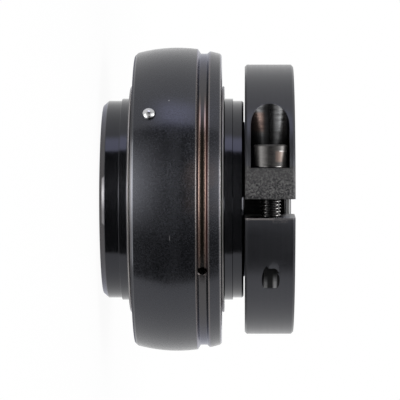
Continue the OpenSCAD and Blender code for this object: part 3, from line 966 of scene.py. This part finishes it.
flinger = {"sleeve": 23.4275, "sheet": 0.5, "disc": 26.8275, "low": 10.6, "height": 2.5,
           "bend": 0.7, "insideBend": 0.22, "rim": (0.16, 0.2), "end": 0.14,
           "bendSteps": 7, "segments": 384}
sealShell = {"edge": 25.0075, "rim": 31.18, "sheet": 0.5, "low": 7.60625, "high": 9.6,
             "bend": 0.6, "insideBend": 0.15, "rimFillet": 0.12, "edgeFillet": 0.08,
             "bendSteps": 7, "segments": 320}


def makeFlinger(side, label):
    # A pressed disc with a sleeve, with the round bend that pressing leaves
    s = flinger
    r, disc, t, end = s["sleeve"], s["disc"], s["sheet"], s["end"]
    low, high = s["low"], s["low"] + s["height"]
    under, over = s["rim"]
    outline = filleted([
        (r, low, s["bend"]), (disc, low, under), (disc, low + t, over),
        (r + t, low + t, s["insideBend"]), (r + t, high, end), (r, high, end)], s["bendSteps"])
    outline[:, 1] *= side
    piece = turnedPiece("flinger_%s_finished" % label, outline, s["segments"], blackFlinger)
    finishPiece(piece, "inner_race", "black_steel", "flinger_%s" % label)


def makeSealShell(side, label):
    # A pressed disc with its bent edge in the outer ring's seat
    s = sealShell
    t, soft, fine = s["sheet"], s["rimFillet"], s["edgeFillet"]
    edge, rim, low, high = s["edge"], s["rim"], s["low"], s["high"]
    outline = filleted([
        (edge, low, fine), (rim, low, s["bend"]), (rim, high, soft), (rim - t, high, soft),
        (rim - t, low + t, s["insideBend"]), (edge, low + t, fine)], s["bendSteps"])
    outline[:, 1] *= side
    piece = turnedPiece("seal_shell_%s_finished" % label, outline, s["segments"], cageSteel)
    finishPiece(piece, "outer_race", "cage_steel", "seal_shell_%s" % label)


# Distances along the screw are from the head's seat
collar = {
    "radius": 32.0, "bore": 18.43, "low": 15.9, "width": 11.4, "bevel": 0.5,
    "boreFillet": 0.15, "fillet": 0.14, "filletSteps": 4,
    "segments": 360, "start": 0.6,  # so that no cut runs close beside a row of points
    "turn": 0.8, "slotHalf": 2.135, "slotLean": 3.1, "softEdge": 0.11, "softFrom": 31.9,
    "pocket": 4.4, "pocketPoints": 65, "beyond": 40.0,
    "plainHole": 2.613, "tapped": 2.463, "core": 2.083, "engaged": 16.875,
    "leftChamfer": (6.5, 0.75), "rightChamfer": (11.6, 0.85),  # narrow end and size
    "coreCone": 0.3, "coreEnd": 1.0, "mouthStart": 0.9,  # beyond the thread
    # Where the core drill comes out, across the screw: left, inwards and fillet
    "mouth": [(0.85, -1.10, 0.15), (1.45, -0.6, 0.3), (1.85, 0.2, 0.3), (1.95, 1.1, 0.4),
              (1.75, 1.95, 0.3), (1.35, 2.44, 0.3), (-1.55, 2.44, 0.3), (-2.0, 1.95, 0.3),
              (-2.2, 1.1, 0.4), (-2.1, 0.25, 0.25), (-1.55, -0.2, 0.2), (-0.30, -0.3, 0.2)],
    # A shallow scoop that runs down into the mouth, along a line dipping inwards
    "scoopAlong": 20.75, "scoopOut": 1.80, "scoopSide": -0.85, "scoopRadius": 1.8,
    "scoopDip": 36.4, "scoopLength": (-1.5, 3.6),
}
clampScrew = {
    "seatX": -7.5065, "out": 27.3, "height": 21.6, "seatGap": 0.05,
    "thread": 2.413, "pitch": 0.79375, "threadDepth": 0.40, "length": 15.875,
    "headRadius": 3.96, "headHeight": 5.2, "headBevel": 0.35, "headFillet": 0.12,
    "underBevel": 0.12, "underFillet": 0.05, "socket": 3.97, "socketDepth": 2.5,
    "pole": 0.02, "rowsPerTurn": 16, "threadFrom": 0.5, "crestShare": 1 / 16,
    "flankShare": 5 / 16, "runIn": 0.8, "runOut": 0.3, "rowsStop": 0.5,
    "endBevel": (0.45, 0.42), "endRound": (0.02, 0.1),  # back from the end and inwards
    "drillWider": 0.96, "drillInside": 0.05, "drillAbove": 0.9, "drillPoint": 0.9,
}


def screwPlace():
    # The head's seat on the collar, and directions with the third along the screw
    s = clampScrew
    t = math.radians(collar["turn"])
    turned = np.array([(math.cos(t), math.sin(t), 0), (-math.sin(t), math.cos(t), 0), (0, 0, 1)])
    seat = np.array([s["seatX"], -s["out"], s["height"]]) @ turned
    axes = np.array([(0, 0, -1), (0, 1, 0), (1, 0, 0)]) @ turned
    return seat, axes


def makeCollar():
    # A turned ring, cut by a radial slot, by a pocket that is a half round carried along
    # the screw's axis, and by a stepped hole on that axis
    s = collar
    low, high, b = s["low"], s["low"] + s["width"], s["bevel"]
    r, bore, inner, outer = s["radius"], s["bore"], s["boreFillet"], s["fillet"]
    outline = filleted([
        (bore, low + b, inner), (bore + b, low, inner), (r - b, low, outer),
        (r, low + b, outer), (r, high - b, outer), (r - b, high, outer),
        (bore + b, high, inner), (bore, high - b, inner)], s["filletSteps"])
    ring = turnedPiece("locking_collar_finished", outline, s["segments"], blackCollar,
                       s["start"])
    seat, axes = screwPlace()
    half = s["slotHalf"]
    slot = prism([(-half, low - 2), (half, low - 2), (half, high + 2), (-half, high + 2)],
                 0, r + 3, (0, 0, 0), axesFromFront(s["turn"] + s["slotLean"]))
    a, wide, far = np.linspace(0, math.pi, s["pocketPoints"]), s["pocket"], -s["beyond"]
    arch = np.stack([wide * np.cos(a), wide * np.sin(a)], -1).tolist()
    pocket = prism(arch + [(-wide, far), (wide, far)], far, 0, seat, axes)
    cutWith(ring, [slot, pocket])
    softenEdges(ring, s["softEdge"], s["softFrom"])

    left, leftSize = s["leftChamfer"]
    right, rightSize = s["rightChamfer"]
    plain, tapped, core, engaged = s["plainHole"], s["tapped"], s["core"], s["engaged"]
    hole = rodSurface("cutter", [
        (plain, -1), (plain, left), (plain + leftSize, left + leftSize),
        (tapped + rightSize, right - rightSize), (tapped, right), (tapped, engaged),
        (core, engaged + s["coreCone"]), (core, engaged + s["coreEnd"])], seat, axes)
    mouth = filleted(s["mouth"], s["filletSteps"])
    breakout = prism(mouth, engaged + s["mouthStart"], r + 8, seat, axes)
    dip, wideScoop = math.radians(s["scoopDip"]), s["scoopRadius"]
    sin, cos = math.sin(dip), math.cos(dip)
    begin = (seat + s["scoopAlong"] * axes[2] - s["scoopOut"] * axes[1]
             + s["scoopSide"] * axes[0] + wideScoop * (sin * axes[2] - cos * axes[1]))
    tilted = np.array([axes[0], cos * axes[1] - sin * axes[2], sin * axes[1] + cos * axes[2]])
    scoop = rodSurface("cutter", [(wideScoop, end) for end in s["scoopLength"]], begin, tilted)
    cutWith(ring, [hole, breakout, scoop])
    finishPiece(ring, "clamp_collar", "black_steel", "locking_collar")


def makeClampScrew():
    # A head and a shank. The shank's radius falls by threadDepth between the crests, as a
    # wave of the share of a turn from the nearest crest: flat, a straight flank, flat.
    s = clampScrew
    seat, axes = screwPlace()
    start = seat - s["seatGap"] * axes[2]
    top, under, thread, pole = s["headRadius"], s["underBevel"], s["thread"], s["pole"]
    face, length, first = -s["headHeight"], s["length"], s["threadFrom"]
    bevelBack, bevelIn = s["endBevel"]
    roundBack, roundIn = s["endRound"]
    head = filleted([
        (pole, face, 0), (top - s["headBevel"], face, s["headFillet"]),
        (top, face + s["headBevel"], s["headFillet"]), (top, -under, s["underFillet"]),
        (top - under, 0, s["underFillet"]), (thread, 0, s["underFillet"]),
        (thread, first, 0), (pole, first, 0)])[:-2]
    rows = np.arange(first, length - s["rowsStop"], s["pitch"] / s["rowsPerTurn"])
    shank = np.stack([np.full(len(rows), thread), rows], -1)
    end = [(thread, length - bevelBack), (thread - bevelIn, length - roundBack),
           (thread - bevelIn - roundIn, length), (pole, length)]

    def threadDepth(along, angle):
        share = np.mod(along / s["pitch"] - angle / (2 * math.pi), 1.0)
        away = np.minimum(share, 1 - share)
        wave = np.clip((away - s["crestShare"]) / s["flankShare"], 0, 1)
        runIn = np.clip((along - s["runIn"]) / s["runIn"], 0, 1)
        runOut = np.clip((length - bevelBack - along) / s["runOut"], 0, 1)
        return s["threadDepth"] * wave * runIn * runOut

    screw = rodSurface("collar_screw_finished", np.concatenate([head, shank, end]), start, axes,
                       blackScrew, depth=threadDepth)
    corner = s["socket"] / 2 / math.cos(math.radians(30))
    floor = face + s["socketDepth"]
    a = np.radians(np.arange(6) * 60)
    key = prism(np.stack([corner * np.cos(a), corner * np.sin(a)], -1), face - 1, floor,
                start, axes)
    wide, narrow = corner + s["drillWider"], s["socket"] / 2 - s["drillInside"]
    drillTop = face - s["drillAbove"]
    drill = rodSurface("cutter", [
        (wide, drillTop), (narrow, drillTop + wide - narrow),
        (narrow, floor - s["drillInside"]),
        (pole, floor - s["drillInside"] + s["drillPoint"])], start, axes)
    cutWith(screw, [key, drill])
    finishPiece(screw, "clamp_screw", "screw_steel", "collar_screw")


makeOuterRing()
makeLocatingPin()
print("outer ring and pin made")
makeInnerRing()
for side, label in ((-1, "left"), (1, "right")):
    makeFlinger(side, label)
    makeSealShell(side, label)
print("inner ring, flingers and seal shells made")
makeCollar()
makeClampScrew()
print("collar and screw made")

paints = {"ball_": brightSteel, "cage_": cageSteel, "seal_lip": sealRubber}
for name, node in nodes.items():
    paint = next((p for begins, p in paints.items() if name.startswith(begins)), blackRing)
    for spot in node.material_slots:
        spot.material = paint
print("other nodes painted")
